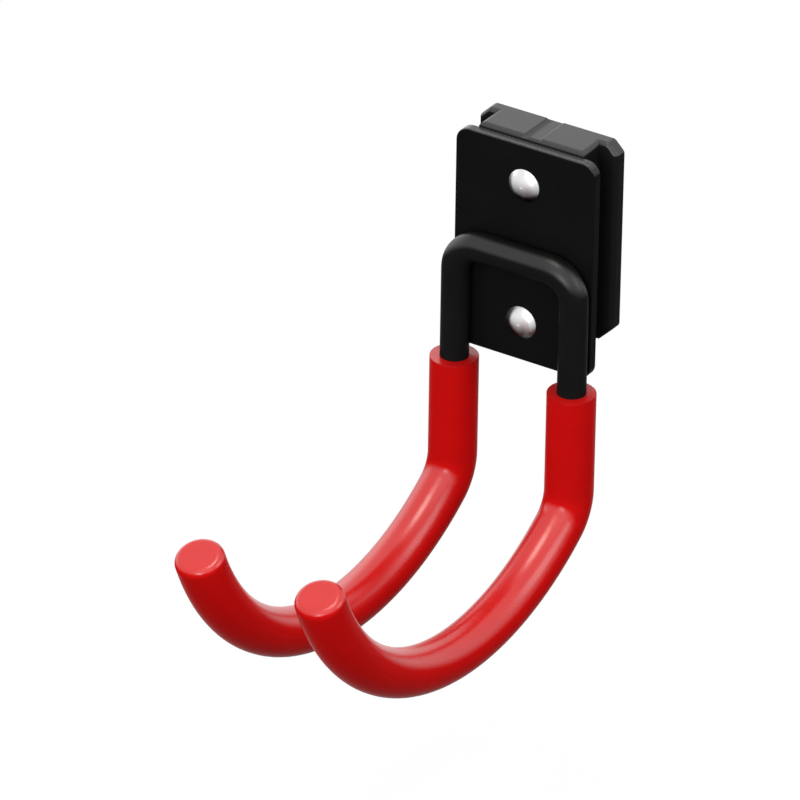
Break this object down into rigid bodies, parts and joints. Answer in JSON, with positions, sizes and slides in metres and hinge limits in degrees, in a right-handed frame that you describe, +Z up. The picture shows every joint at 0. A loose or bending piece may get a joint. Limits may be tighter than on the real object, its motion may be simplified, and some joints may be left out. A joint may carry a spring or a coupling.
{
  "type": "garage utility hook",
  "caption": "Double-prong wall hook: a bent rod with soft sleeves, welded to a steel plate that is riveted to a moulded T-foot for a slotted rail.",
  "frame": {"origin": "middle of the foot's flat back face", "axes": "+Y into the wall, square to the foot's back face; the prongs reach out along -Y; +Z up along the rail; +X to the right seen from the front"},
  "size_m": [0.0508, 0.1476, 0.1287],
  "materials": {
    "foot_plastic": "satin, black through the moulding",
    "plate_coat": "black powder coat, semi-gloss",
    "rod_coat": "black powder coat, semi-gloss",
    "rivet_steel": "bright plated",
    "sleeve_vinyl": "soft red vinyl, satin gloss"
  },
  "bodies": {
    "root": {"rail_foot": "foot_plastic", "mounting_plate": "plate_coat", "upper_rivet": "rivet_steel", "lower_rivet": "rivet_steel", "hook_rod": "rod_coat", "left_sleeve": "sleeve_vinyl", "right_sleeve": "sleeve_vinyl"}
  },
  "joints": []
}
